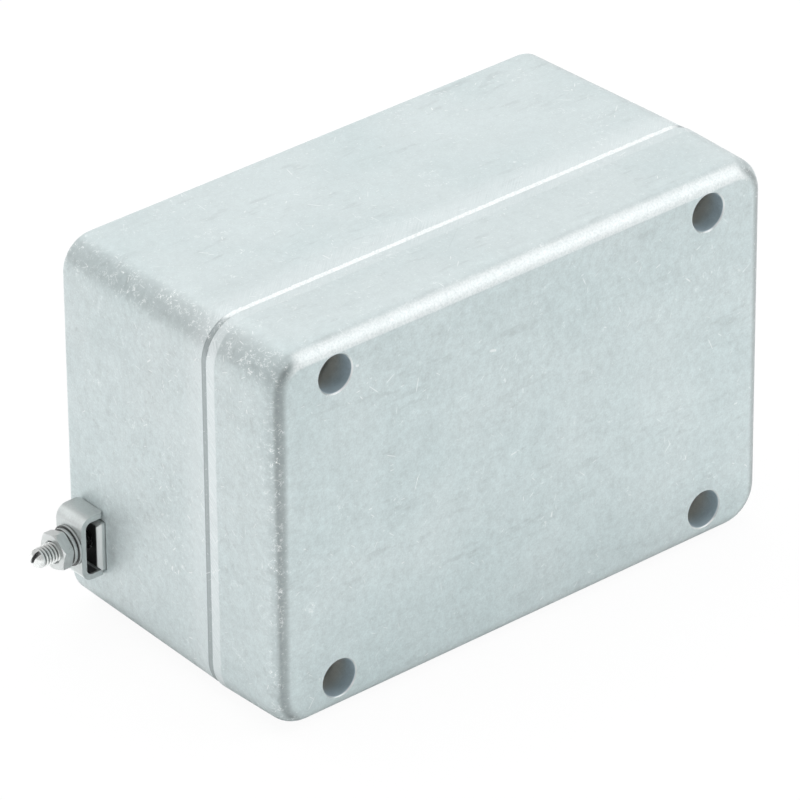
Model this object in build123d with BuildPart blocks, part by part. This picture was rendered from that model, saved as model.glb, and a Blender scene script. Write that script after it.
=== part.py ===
from build123d import *
from math import radians, tan
import os

# Wall-mounted die-cast enclosure: a deep base, a lid held by four captive screws
# that sit far down in round recesses, and an earth stud through the left end wall.
# Lengths are in millimetres. The origin is the middle of the flat mounting face:
# X runs along the box, the lid lies towards -Y, and +Z is up.

# Outline of both castings, at the joint
length = 121.0
height = 80.0
corner_radius = 8.0
wall = 3.5

# Base casting
base_depth = 44.0
base_draft = 1.7
back_edge_radius = 1.5
floor_thickness = 3.0
rim_bevel_width = 0.35
rim_bevel_depth = 0.9

# Lid casting
lid_thickness = 18.6
lid_overhang = 0.15
lid_draft = 1.0
front_edge_radius = 4.0
lid_rim_radius = 0.2
top_thickness = 4.0

# Cavity, the same in both castings, with a solid block left in each corner
cavity_draft = 1.0
cavity_corner_radius = 3.5
cavity_floor_radius = 1.5
block_reach = 6.0

# Joint and gasket
joint_gap = 0.4
groove_land = 0.6
groove_width = 1.7
groove_depth = 1.2
gasket_side_clearance = 0.1

# Lid screws: their places, measured in from the edges of the outline
screw_edge_x = 15.0
screw_edge_z = 7.5
thread_radius = 2.0
waist_radius = 1.55
head_radius = 3.5
head_height = 2.6
head_edge_radius = 0.35
slot_width = 1.1
slot_depth = 1.1
thread_length = 8.0
thread_start = 7.0
tip_bevel = 0.5
recess_depth = 9.9
recess_clearance = 0.4
recess_rim_bevel = 0.25
recess_rim_slope = 45.0
shank_clearance = 0.25
thread_clearance = 0.05
tapped_spare = 2.0
screw_slot_turns = (35.0, 110.0, 75.0, 150.0)

# Sealing washer under each head and retaining washer on each screw's waist
seal_thickness = 0.8
seal_bore_clearance = 0.1
retainer_thickness = 1.0
retainer_radius = 3.1
retainer_bore_clearance = 0.15
retainer_side_clearance = 0.15
retainer_inset = 0.1

# Holes for fixing the base to a wall, in wells under the lid
mount_edge_x = 8.0
mount_edge_z = 7.5
mount_hole_radius = 2.3
mount_well_radius = 3.65
mount_floor = 5.0

# Tapped bosses on the floor of the base
boss_spacing_x = 70.0
boss_spacing_z = 34.0
boss_radius = 4.0
boss_height = 7.0
boss_hole_radius = 1.65
boss_hole_depth = 7.0

# Earth stud and the milled seats on both sides of the end wall
stud_back_edge = 7.45
stud_low_edge = 18.45
stud_bore_clearance = 0.03
stud_end_bevel = 0.5
stud_dome_radius = 1.5
stud_slot_width = 0.8
stud_slot_depth = 1.0
stud_slot_turn = -25.0
seat_clearance = 0.15
seat_cut = 0.06
pad_radius = 5.6
pad_raise = 0.8
pad_root = 1.0
relief_clearance = 0.2

# Outer earth clamp: plate, bent bracket, washers and nut
plate_thickness = 1.9
plate_width = 8.4
plate_height = 10.2
plate_rest_gap = 0.05
plate_edge_bevel = 0.4
strip_thickness = 1.15
strip_width = 7.5
bracket_height = 13.6
bracket_reach = 5.7
bracket_foot_gap = 0.02
bracket_foot_radius = 0.8
bracket_bend_radius = 1.9
stud_hole_clearance = 0.2
flat_washer_radius = 4.1
flat_washer_thickness = 0.6
spring_washer_radius = 3.7
spring_washer_thickness = 1.0
spring_gap = 0.8
spring_gap_slant = 25.0
nut_across_flats = 7.0
nut_thickness = 2.4
nut_bevel_angle = 30.0
nut_bevel_margin = 0.3
nut_bore_bevel = 0.3
outer_spring_turn = 60.0
outer_nut_turn = 17.5
stud_outer_reach = 4.7

# Inner earth terminal: lock washer and lock nut, then washers and nut
lock_washer_radius = 4.0
lock_washer_thickness = 0.5
lock_washer_teeth = 8
tooth_notch_width = 1.0
tooth_notch_depth = 0.8
lock_nut_turn = 12.0
inner_spring_turn = 200.0
inner_nut_turn = 40.0
stud_inner_reach = 3.2

# Planes and places that follow from the sizes above
rim_plane = Plane.XZ.offset(base_depth)
lid_rim_plane = Plane.XZ.offset(base_depth + joint_gap)
front_plane = lid_rim_plane.offset(lid_thickness)
cavity_floor_plane = Plane.XZ.offset(floor_thickness)

cavity_length = length - 2 * wall
cavity_height = height - 2 * wall
screw_x = length / 2 - screw_edge_x
screw_z = height / 2 - screw_edge_z
mount_x = length / 2 - mount_edge_x
mount_z = height / 2 - mount_edge_z
stud_y = -stud_back_edge
stud_z = stud_low_edge - height / 2
nut_corner_radius = nut_across_flats / 3**0.5
recess_radius = head_radius + recess_clearance
shank_hole_radius = thread_radius + shank_clearance
tapped_radius = thread_radius + thread_clearance
stud_hole_radius = thread_radius + stud_hole_clearance


def drafted(half_size, depth, draft):
    """Half size of a drafted wall at a depth below the joint."""
    return half_size - depth * tan(radians(draft))


# The two flat faces on the end wall that the earth terminal seats on; a round relief
# over the inner pad clears the lock washer and lock nut of the corner's fillets
seat_width = plate_width + 2 * seat_clearance
seat_height = plate_height + 2 * seat_clearance
seat_depth_below_rim = base_depth + stud_y + seat_width / 2
seat_x = drafted(length / 2, seat_depth_below_rim, base_draft) - seat_cut
pad_x = drafted(cavity_length / 2, base_depth + stud_y, cavity_draft) - pad_raise

# The outer stack along the stud, from the seat outwards: the plate rests on the
# bracket's lower leg, and the bracket's feet just clear the drafted wall
plate_top_x = seat_x + plate_thickness
plate_z = stud_z - (bracket_height - plate_height) / 2 + strip_thickness + plate_rest_gap
foot_depth_below_rim = base_depth + stud_y - strip_width / 2
bracket_foot_x = drafted(length / 2, foot_depth_below_rim, base_draft) + bracket_foot_gap
bracket_face_x = seat_x + bracket_reach
outer_spring_x = bracket_face_x + flat_washer_thickness
outer_nut_x = outer_spring_x + spring_washer_thickness
stud_tip_x = outer_nut_x + nut_thickness + stud_outer_reach

# The inner stack along the stud, from the pad inwards
lock_nut_x = pad_x - lock_washer_thickness
inner_flat_x = lock_nut_x - nut_thickness
inner_spring_x = inner_flat_x - flat_washer_thickness
inner_nut_x = inner_spring_x - spring_washer_thickness
stud_inner_x = inner_nut_x - nut_thickness - stud_inner_reach

OUTWARD = -1
INWARD = 1


def stud_plane(x, side, z=stud_z):
    """Plane across the stud at a distance x left of the middle, facing out of or into the box."""
    return Plane(origin=(-x, stud_y, z), x_dir=(0, side, 0), z_dir=(side, 0, 0))


def cavity_outline():
    """Cavity seen from the lid: a rectangle with a block left in each corner."""
    with BuildSketch(Plane.XY) as outline:
        Rectangle(cavity_length, 2 * (screw_z - block_reach))
        Rectangle(2 * (screw_x - block_reach), cavity_height)
        fillet(outline.vertices(), cavity_corner_radius)
    return outline.sketch


def cavity_ring(inner_land, ring_width):
    """Ring that runs round the cavity outline, a land away from it."""
    with BuildSketch(Plane.XY) as ring:
        add(cavity_outline())
        offset(amount=inner_land + ring_width)
        offset(cavity_outline(), amount=inner_land, mode=Mode.SUBTRACT)
    return ring.sketch


os.makedirs("parts", exist_ok=True)

# Base: drafted tub with a bevelled rim, corner blocks, floor bosses and earth seats
with BuildPart() as base_housing:
    with BuildSketch(rim_plane):
        RectangleRounded(length, height, corner_radius)
    extrude(amount=-base_depth, taper=base_draft)
    back_face = base_housing.faces().sort_by(Axis.Y)[-1]
    fillet(back_face.edges(), back_edge_radius)
    rim_face = base_housing.faces().sort_by(Axis.Y)[0]
    chamfer(rim_face.edges(), rim_bevel_width, rim_bevel_depth, reference=rim_face)
    with BuildSketch(rim_plane):
        add(cavity_outline())
    extrude(amount=floor_thickness - base_depth, taper=cavity_draft, mode=Mode.SUBTRACT)
    cavity_floor = base_housing.faces().filter_by(Axis.Y).sort_by(Axis.Y)[-2]
    fillet(cavity_floor.edges(), cavity_floor_radius)
    with BuildSketch(cavity_floor_plane):
        with GridLocations(boss_spacing_x, boss_spacing_z, 2, 2):
            Circle(boss_radius)
    extrude(amount=boss_height)
    with Locations(cavity_floor_plane.offset(boss_height)):
        with GridLocations(boss_spacing_x, boss_spacing_z, 2, 2):
            Hole(boss_hole_radius, depth=boss_hole_depth)
    with Locations(rim_plane):
        with GridLocations(2 * screw_x, 2 * screw_z, 2, 2):
            CounterBoreHole(
                tapped_radius,
                shank_hole_radius,
                thread_start,
                depth=thread_start + thread_length + tapped_spare,
            )
        with GridLocations(2 * mount_x, 2 * mount_z, 2, 2):
            CounterBoreHole(mount_hole_radius, mount_well_radius, base_depth - mount_floor)
    with BuildSketch(stud_plane(pad_x, INWARD)):
        Circle(pad_radius)
    extrude(amount=-(pad_raise + pad_root))
    with BuildSketch(stud_plane(pad_x, INWARD)):
        Circle(lock_washer_radius + relief_clearance)
    extrude(amount=pad_x - inner_flat_x, mode=Mode.SUBTRACT)
    with BuildSketch(stud_plane(seat_x, OUTWARD, plate_z)):
        Rectangle(seat_width, seat_height)
    extrude(amount=wall, mode=Mode.SUBTRACT)
    with BuildSketch(stud_plane(pad_x, INWARD)):
        Circle(thread_radius + stud_bore_clearance)
    extrude(amount=pad_x - seat_x, mode=Mode.SUBTRACT)
base_housing.part.label = "base_housing"
export_step(base_housing.part, "parts/base_housing.step")

# Lid: drafted tray with a broad rounded front edge, screw recesses and a gasket groove
with BuildPart() as lid:
    with BuildSketch(lid_rim_plane):
        RectangleRounded(
            length + 2 * lid_overhang,
            height + 2 * lid_overhang,
            corner_radius + lid_overhang,
        )
    extrude(amount=lid_thickness, taper=lid_draft)
    front_face = lid.faces().sort_by(Axis.Y)[0]
    fillet(front_face.edges(), front_edge_radius)
    lid_rim_face = lid.faces().sort_by(Axis.Y)[-1]
    fillet(lid_rim_face.edges(), lid_rim_radius)
    with BuildSketch(lid_rim_plane):
        add(cavity_outline())
    extrude(amount=lid_thickness - top_thickness, taper=cavity_draft, mode=Mode.SUBTRACT)
    lid_ceiling = lid.faces().filter_by(Axis.Y).sort_by(Axis.Y)[1]
    fillet(lid_ceiling.edges(), cavity_floor_radius)
    with BuildSketch(lid_rim_plane):
        add(cavity_ring(groove_land, groove_width))
    extrude(amount=groove_depth, mode=Mode.SUBTRACT)
    with Locations(front_plane):
        with GridLocations(2 * screw_x, 2 * screw_z, 2, 2):
            CounterBoreHole(shank_hole_radius, recess_radius, recess_depth)
    with BuildSketch(front_plane):
        with GridLocations(2 * screw_x, 2 * screw_z, 2, 2):
            Circle(recess_radius + recess_rim_bevel)
    extrude(amount=-recess_rim_bevel, taper=recess_rim_slope, mode=Mode.SUBTRACT)
    with BuildSketch(lid_rim_plane):
        with GridLocations(2 * screw_x, 2 * screw_z, 2, 2):
            Circle(retainer_radius + retainer_side_clearance)
    extrude(amount=retainer_thickness + retainer_inset, mode=Mode.SUBTRACT)
lid.part.label = "lid"
export_step(lid.part, "parts/lid.step")

# Gasket: fills the lid's groove and stands proud of it down to the base's rim
with BuildPart() as lid_gasket:
    with BuildSketch(rim_plane):
        add(cavity_ring(groove_land + gasket_side_clearance, groove_width - 2 * gasket_side_clearance))
    extrude(amount=joint_gap + groove_depth)
lid_gasket.part.label = "lid_gasket"
export_step(lid_gasket.part, "parts/lid_gasket.step")

# Captive screws, each with a sealing washer under its head and a retaining washer
recess_floor_plane = front_plane.offset(-recess_depth)
head_plane = recess_floor_plane.offset(seal_thickness)
thread_plane = rim_plane.offset(-thread_start)
retainer_plane = lid_rim_plane.offset(retainer_inset)
waist_length = lid_thickness - recess_depth + seal_thickness + joint_gap + thread_start

screw_places = GridLocations(2 * screw_x, 2 * screw_z, 2, 2).locations

for number, place in enumerate(screw_places, start=1):
    with BuildPart() as lid_screw:
        with BuildSketch(head_plane):
            with Locations(place):
                Circle(head_radius)
        extrude(amount=head_height)
        fillet(lid_screw.faces().sort_by(Axis.Y)[0].edges(), head_edge_radius)
        with BuildSketch(head_plane.offset(head_height)):
            with Locations(place):
                Rectangle(
                    3 * head_radius,
                    slot_width,
                    rotation=screw_slot_turns[number - 1],
                )
        extrude(amount=-slot_depth, mode=Mode.SUBTRACT)
        with BuildSketch(head_plane):
            with Locations(place):
                Circle(waist_radius)
        extrude(amount=-waist_length)
        with BuildSketch(thread_plane):
            with Locations(place):
                Circle(thread_radius)
        extrude(amount=-thread_length)
        chamfer(lid_screw.faces().sort_by(Axis.Y)[-1].edges(), tip_bevel)
    lid_screw.part.label = f"lid_screw_{number}"
    export_step(lid_screw.part, f"parts/lid_screw_{number}.step")

    with BuildPart() as screw_seal:
        with BuildSketch(recess_floor_plane):
            with Locations(place):
                Circle(head_radius)
                Circle(waist_radius + seal_bore_clearance, mode=Mode.SUBTRACT)
        extrude(amount=seal_thickness)
    screw_seal.part.label = f"screw_seal_{number}"
    export_step(screw_seal.part, f"parts/screw_seal_{number}.step")

    with BuildPart() as screw_retainer:
        with BuildSketch(retainer_plane):
            with Locations(place):
                Circle(retainer_radius)
                Circle(waist_radius + retainer_bore_clearance, mode=Mode.SUBTRACT)
        extrude(amount=retainer_thickness)
    screw_retainer.part.label = f"screw_retainer_{number}"
    export_step(screw_retainer.part, f"parts/screw_retainer_{number}.step")

# Earth stud: threaded rod through the end wall, with a domed and slotted outer end
with BuildPart() as earth_stud:
    with BuildSketch(stud_plane(stud_inner_x, OUTWARD)):
        Circle(thread_radius)
    extrude(amount=stud_tip_x - stud_inner_x)
    stud_ends = earth_stud.faces().filter_by(Axis.X).sort_by(Axis.X)
    chamfer(stud_ends[-1].edges(), stud_end_bevel)
    fillet(stud_ends[0].edges(), stud_dome_radius)
    with BuildSketch(stud_plane(stud_tip_x, OUTWARD)):
        Rectangle(stud_slot_width, 3 * thread_radius, rotation=stud_slot_turn)
    extrude(amount=-stud_slot_depth, mode=Mode.SUBTRACT)
earth_stud.part.label = "earth_stud"
export_step(earth_stud.part, "parts/earth_stud.step")

# Outer clamp plate, flat on the milled seat
with BuildPart() as outer_clamp_plate:
    with BuildSketch(stud_plane(seat_x, OUTWARD, plate_z)):
        Rectangle(plate_width, plate_height)
    extrude(amount=plate_thickness)
    chamfer(outer_clamp_plate.edges(), plate_edge_bevel)
    with Locations(stud_plane(plate_top_x, OUTWARD)):
        Hole(stud_hole_radius)
outer_clamp_plate.part.label = "outer_clamp_plate"
export_step(outer_clamp_plate.part, "parts/outer_clamp_plate.step")

# Outer clamp bracket: one strip bent to a U round the plate, its two legs towards the wall
leg_z = (bracket_height - strip_thickness) / 2
web_x = bracket_face_x - strip_thickness / 2
with BuildPart() as outer_clamp_bracket:
    with BuildSketch(Plane.XZ.offset(-stud_y)):
        with BuildLine():
            FilletPolyline(
                (-bracket_foot_x, stud_z + leg_z),
                (-web_x, stud_z + leg_z),
                (-web_x, stud_z - leg_z),
                (-bracket_foot_x, stud_z - leg_z),
                radius=bracket_bend_radius,
            )
        trace(line_width=strip_thickness)
    extrude(amount=strip_width / 2, both=True)
    foot_corners = outer_clamp_bracket.edges().filter_by(Axis.Z).sort_by(Axis.X)[-4:]
    fillet(foot_corners, bracket_foot_radius)
    with BuildSketch(stud_plane(bracket_face_x, OUTWARD)):
        Circle(stud_hole_radius)
    extrude(amount=-2 * strip_thickness, mode=Mode.SUBTRACT)
outer_clamp_bracket.part.label = "outer_clamp_bracket"
export_step(outer_clamp_bracket.part, "parts/outer_clamp_bracket.step")


def flat_washer(plane):
    """Plain round washer that lies on the plane."""
    with BuildPart() as washer:
        with BuildSketch(plane):
            Circle(flat_washer_radius)
            Circle(stud_hole_radius, mode=Mode.SUBTRACT)
        extrude(amount=flat_washer_thickness)
    return washer


def spring_washer(plane, turn):
    """Split washer, pressed flat, with a slanted gap at the turn."""
    with BuildPart() as washer:
        with BuildSketch(plane):
            Circle(spring_washer_radius)
            Circle(stud_hole_radius, mode=Mode.SUBTRACT)
        extrude(amount=spring_washer_thickness)
        with Locations(plane.offset(spring_washer_thickness / 2)):
            with PolarLocations(spring_washer_radius, 1, start_angle=turn):
                Box(
                    2 * (spring_washer_radius - thread_radius / 2),
                    spring_gap,
                    3 * spring_washer_thickness,
                    rotation=(spring_gap_slant, 0, 0),
                    mode=Mode.SUBTRACT,
                )
    return washer


def hex_nut(plane, turn):
    """Hexagon nut that stands on the plane, bevelled at its corners and its bore."""
    blank_radius = nut_corner_radius + nut_bevel_margin
    bevel_width = blank_radius - nut_across_flats / 2
    bevel_height = bevel_width * tan(radians(nut_bevel_angle))
    with BuildPart() as nut:
        with BuildSketch(plane):
            Circle(blank_radius)
        extrude(amount=nut_thickness)
        for end_face in nut.faces().filter_by(Axis.X):
            chamfer(end_face.edges(), bevel_width, bevel_height, reference=end_face)
        with BuildSketch(plane):
            RegularPolygon(nut_across_flats / 2, 6, major_radius=False, rotation=turn)
        extrude(amount=nut_thickness, mode=Mode.INTERSECT)
        with Locations(plane.offset(nut_thickness)):
            Hole(tapped_radius)
        chamfer(nut.edges().filter_by(GeomType.CIRCLE).sort_by(SortBy.RADIUS)[:2], nut_bore_bevel)
    return nut


outer_flat_washer = flat_washer(stud_plane(bracket_face_x, OUTWARD))
outer_flat_washer.part.label = "outer_flat_washer"
export_step(outer_flat_washer.part, "parts/outer_flat_washer.step")

outer_spring_washer = spring_washer(stud_plane(outer_spring_x, OUTWARD), outer_spring_turn)
outer_spring_washer.part.label = "outer_spring_washer"
export_step(outer_spring_washer.part, "parts/outer_spring_washer.step")

outer_nut = hex_nut(stud_plane(outer_nut_x, OUTWARD), outer_nut_turn)
outer_nut.part.label = "outer_nut"
export_step(outer_nut.part, "parts/outer_nut.step")

# Toothed lock washer between the inner pad and the lock nut
with BuildPart() as inner_lock_washer:
    with BuildSketch(stud_plane(pad_x, INWARD)):
        Circle(lock_washer_radius)
        Circle(stud_hole_radius, mode=Mode.SUBTRACT)
        with PolarLocations(lock_washer_radius, lock_washer_teeth):
            Rectangle(2 * tooth_notch_depth, tooth_notch_width, mode=Mode.SUBTRACT)
    extrude(amount=lock_washer_thickness)
inner_lock_washer.part.label = "inner_lock_washer"
export_step(inner_lock_washer.part, "parts/inner_lock_washer.step")

inner_lock_nut = hex_nut(stud_plane(lock_nut_x, INWARD), lock_nut_turn)
inner_lock_nut.part.label = "inner_lock_nut"
export_step(inner_lock_nut.part, "parts/inner_lock_nut.step")

inner_flat_washer = flat_washer(stud_plane(inner_flat_x, INWARD))
inner_flat_washer.part.label = "inner_flat_washer"
export_step(inner_flat_washer.part, "parts/inner_flat_washer.step")

inner_spring_washer = spring_washer(stud_plane(inner_spring_x, INWARD), inner_spring_turn)
inner_spring_washer.part.label = "inner_spring_washer"
export_step(inner_spring_washer.part, "parts/inner_spring_washer.step")

inner_nut = hex_nut(stud_plane(inner_nut_x, INWARD), inner_nut_turn)
inner_nut.part.label = "inner_nut"
export_step(inner_nut.part, "parts/inner_nut.step")
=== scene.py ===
import math

import bmesh
import bpy
from bpy.props import FloatProperty, FloatVectorProperty, IntProperty, PointerProperty
from bpy.types import Operator, Panel, PropertyGroup
from mathutils import Matrix, Vector


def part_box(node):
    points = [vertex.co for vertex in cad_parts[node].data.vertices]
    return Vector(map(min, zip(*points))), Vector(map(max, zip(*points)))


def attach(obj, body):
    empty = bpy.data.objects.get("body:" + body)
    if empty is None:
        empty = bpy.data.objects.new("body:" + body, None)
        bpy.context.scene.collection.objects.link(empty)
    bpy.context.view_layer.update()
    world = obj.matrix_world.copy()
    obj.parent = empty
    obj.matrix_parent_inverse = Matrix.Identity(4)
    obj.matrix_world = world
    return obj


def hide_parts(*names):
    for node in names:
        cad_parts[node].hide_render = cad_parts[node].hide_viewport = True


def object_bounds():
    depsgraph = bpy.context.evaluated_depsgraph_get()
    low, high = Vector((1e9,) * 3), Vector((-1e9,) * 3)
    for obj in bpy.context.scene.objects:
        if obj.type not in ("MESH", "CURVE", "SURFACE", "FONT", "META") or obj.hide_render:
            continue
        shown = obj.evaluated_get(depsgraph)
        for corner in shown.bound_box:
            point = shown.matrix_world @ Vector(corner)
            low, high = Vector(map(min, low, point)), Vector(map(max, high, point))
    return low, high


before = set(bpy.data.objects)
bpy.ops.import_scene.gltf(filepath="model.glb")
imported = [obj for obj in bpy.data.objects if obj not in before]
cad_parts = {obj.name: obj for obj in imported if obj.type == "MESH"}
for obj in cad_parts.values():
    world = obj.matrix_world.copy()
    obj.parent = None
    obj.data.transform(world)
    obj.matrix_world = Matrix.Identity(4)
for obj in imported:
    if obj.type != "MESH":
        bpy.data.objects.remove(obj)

bl_info = {
    "name": "Die-cast enclosure",
    "version": (1, 0, 0),
    "blender": (4, 5, 0),
    "location": "View3D > Sidebar > Enclosure",
    "description": "Finishes a die-cast box with captive screws and an earth clamp, and lights it",
    "category": "Object",
}

MM = 0.001
WHITE = (1.0, 1.0, 1.0, 1.0)
# Faces that meet at more than this show a sharp edge
SHARP_ANGLE = math.radians(32)

cad_low, cad_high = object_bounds()
base_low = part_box("base_housing")[0]
lid_low, lid_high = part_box("lid")
stud_low, stud_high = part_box("earth_stud")
plate_low, plate_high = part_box("outer_clamp_plate")
bracket_low, bracket_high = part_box("outer_clamp_bracket")
screw_low, screw_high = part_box("lid_screw_1")
stud_middle = (stud_low + stud_high) / 2

# The joint runs half way between the two castings' rims
joint_y = (base_low.y + lid_high.y) / 2


class Socket:
    """A node socket to be used in Python expressions; each operation adds its node."""

    def __init__(self, tree, out=None):
        self.tree = tree
        self.out = out

    def feed(self, target, value):
        """Links a wrapped socket to the target, or sets the target's own value."""
        if isinstance(value, Socket):
            self.tree.links.new(value.out, target)
        else:
            target.default_value = value

    def node(self, kind, settings=None, inputs=None, out=0):
        """Adds a node of that kind, sets it, feeds its inputs and returns one of its outputs."""
        made = self.tree.nodes.new(kind)
        for name, value in (settings or {}).items():
            setattr(made, name, value)
        for name, value in (inputs or {}).items():
            self.feed(made.inputs[name], value)
        return Socket(self.tree, made.outputs[out])

    def also(self, name):
        """Another output of the node that this one comes from."""
        return Socket(self.tree, self.out.node.outputs[name])

    def calculate(self, operation, *values):
        """Math on numbers, Vector Math once a vector or a colour takes part."""
        sockets = [value.out.type for value in values if isinstance(value, Socket)]
        tuples = any(isinstance(value, tuple) for value in values)
        if tuples or "VECTOR" in sockets or "RGBA" in sockets:
            kind = "ShaderNodeVectorMath"
            values = [(v,) * 3 if isinstance(v, (int, float)) else v for v in values]
        else:
            kind = "ShaderNodeMath"
        return self.node(kind, {"operation": operation}, dict(enumerate(values)))

    def __add__(self, other):
        return self.calculate("ADD", self, other)

    def __radd__(self, other):
        return self.calculate("ADD", other, self)

    def __sub__(self, other):
        return self.calculate("SUBTRACT", self, other)

    def __rsub__(self, other):
        return self.calculate("SUBTRACT", other, self)

    def __mul__(self, other):
        return self.calculate("MULTIPLY", self, other)

    def __rmul__(self, other):
        return self.calculate("MULTIPLY", other, self)

    def __truediv__(self, other):
        return self.calculate("DIVIDE", self, other)

    def __abs__(self):
        return self.calculate("ABSOLUTE", self)

    def larger(self, other):
        return self.calculate("MAXIMUM", self, other)

    def smaller(self, other):
        return self.calculate("MINIMUM", self, other)

    def dot(self, other):
        settings = {"operation": "DOT_PRODUCT"}
        return self.node("ShaderNodeVectorMath", settings, {0: self, 1: other}, "Value")

    def length(self):
        return self.node("ShaderNodeVectorMath", {"operation": "LENGTH"}, {0: self}, "Value")

    def unit(self):
        return self.node("ShaderNodeVectorMath", {"operation": "NORMALIZE"}, {0: self})

    def rise(self, low, high):
        """0 below low, 1 above high, smooth between; falls instead where low is above high."""
        if low > high:
            return 1.0 - self.rise(high, low)
        settings = {"interpolation_type": "SMOOTHSTEP"}
        inputs = {"Value": self, "From Min": low, "From Max": high}
        return self.node("ShaderNodeMapRange", settings, inputs)

    def parts(self):
        """The three parts of a vector."""
        split = self.node("ShaderNodeSeparateXYZ", None, {0: self})
        return split, split.also("Y"), split.also("Z")

    def blend(self, first, second):
        """Colour from first to second, with this value as the share of second."""
        inputs = {"Factor": self, "A_Color": first, "B_Color": second}
        made = self.tree.nodes.new("ShaderNodeMix")
        made.data_type = "RGBA"
        for socket in made.inputs:
            if socket.identifier == "Factor_Float":
                self.feed(socket, inputs["Factor"])
            elif socket.identifier in inputs:
                self.feed(socket, inputs[socket.identifier])
        result = [s for s in made.outputs if s.identifier == "Result_Color"]
        return Socket(self.tree, result[0])


class Surface:
    """A new material with its shader, and the places over the surface that its maths starts from."""

    def __init__(self, name, metallic, roughness):
        self.material = bpy.data.materials.new(name)
        self.material.use_nodes = True
        tree = self.material.node_tree
        self.shader = tree.nodes["Principled BSDF"]
        self.start = Socket(tree)
        self.place = self.start.node("ShaderNodeTexCoord", out="Object")
        self.normal = self.start.node("ShaderNodeNewGeometry", out="Normal")
        self.set("Metallic", metallic)
        self.set("Roughness", roughness)

    def set(self, name, value):
        self.start.feed(self.shader.inputs[name], value)

    def noise(self, size, detail=2.0, stretch=(1, 1, 1), shift=0.0):
        """Noise about a half whose features are about that size in metres."""
        return self.noise_at(self.place * tuple(1 / (size * s) for s in stretch) + shift, detail)

    def noise_at(self, at, detail):
        """Noise about a half whose features are about 1 wide in the space of that vector."""
        inputs = {"Vector": at, "Scale": 1.0, "Detail": detail}
        return self.start.node("ShaderNodeTexNoise", None, inputs)

    def vector(self, x, y, z):
        return self.start.node("ShaderNodeCombineXYZ", None, {0: x, 1: y, 2: z})

    def nicks(self, spacing, length, width, shift=0.0):
        """Short straight marks, one in each cell of that spacing, each turned its own way."""
        at = self.place * (1 / spacing) + shift
        cells = self.start.node("ShaderNodeTexVoronoi", None, {"Vector": at, "Scale": 1.0}, "Position")
        shade = cells.also("Color")
        away = at - cells
        turn = (shade - 0.5).unit()
        line = abs(away.dot(turn)).rise(width / spacing, 0.3 * width / spacing)
        reach = away.length() / (shade.parts()[0] + 0.2)
        return line * reach.rise(length / spacing, 0.6 * length / spacing)

    def bump(self, height, distance):
        """Relief of that distance in metres where height is 1."""
        inputs = {"Height": height, "Distance": distance, "Strength": 1.0}
        self.set("Normal", self.start.node("ShaderNodeBump", None, inputs))


def linked(name, data):
    """A new object with that data, in the scene."""
    made = bpy.data.objects.new(name, data)
    bpy.context.scene.collection.objects.link(made)
    return made


def apply_to(made, modifier):
    """Applies the modifier to its object's mesh."""
    with bpy.context.temp_override(object=made, active_object=made, selected_objects=[made]):
        bpy.ops.object.modifier_apply(modifier=modifier.name)


def dress(nodes, material):
    """Gives the CAD nodes of those names one material."""
    for name in nodes:
        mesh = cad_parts[name].data
        mesh.materials.clear()
        mesh.materials.append(material)


def nodes_like(*starts):
    return sorted(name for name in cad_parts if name.startswith(starts))


def shade_planes_flat(mesh):
    """Shades flat each plane of three or more triangles, and smooth all the rest."""
    done = set()
    for seed in mesh.faces:
        if seed in done:
            continue
        plane, border = {seed}, [seed]
        while border:
            for edge in border.pop().edges:
                for face in edge.link_faces:
                    if face not in plane and face.normal.dot(seed.normal) > 0.999999:
                        plane.add(face)
                        border.append(face)
        done |= plane
        for face in plane:
            face.smooth = len(plane) < 3


def smooth_copy(node, body, material):
    """Copy of a CAD node whose faces join without seams, with its flat faces shaded flat."""
    join_within, slimmest = 0.002 * MM, 0.001 * MM
    mesh = bmesh.new()
    mesh.from_mesh(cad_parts[node].data)
    bmesh.ops.remove_doubles(mesh, verts=mesh.verts, dist=join_within)
    bmesh.ops.dissolve_degenerate(mesh, edges=mesh.edges, dist=slimmest)
    mesh.normal_update()
    shade_planes_flat(mesh)
    data = bpy.data.meshes.new(f"smooth_{node}")
    mesh.to_mesh(data)
    mesh.free()
    # The loaded normals belong to the unmerged faces
    data.attributes.remove(data.attributes["custom_normal"])
    data.materials.clear()
    data.materials.append(material)
    data.set_sharp_from_angle(angle=SHARP_ANGLE)
    made = linked(data.name, data)
    weigh = made.modifiers.new("weigh", "WEIGHTED_NORMAL")
    weigh.keep_sharp = True
    apply_to(made, weigh)
    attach(made, body)
    return made


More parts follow.
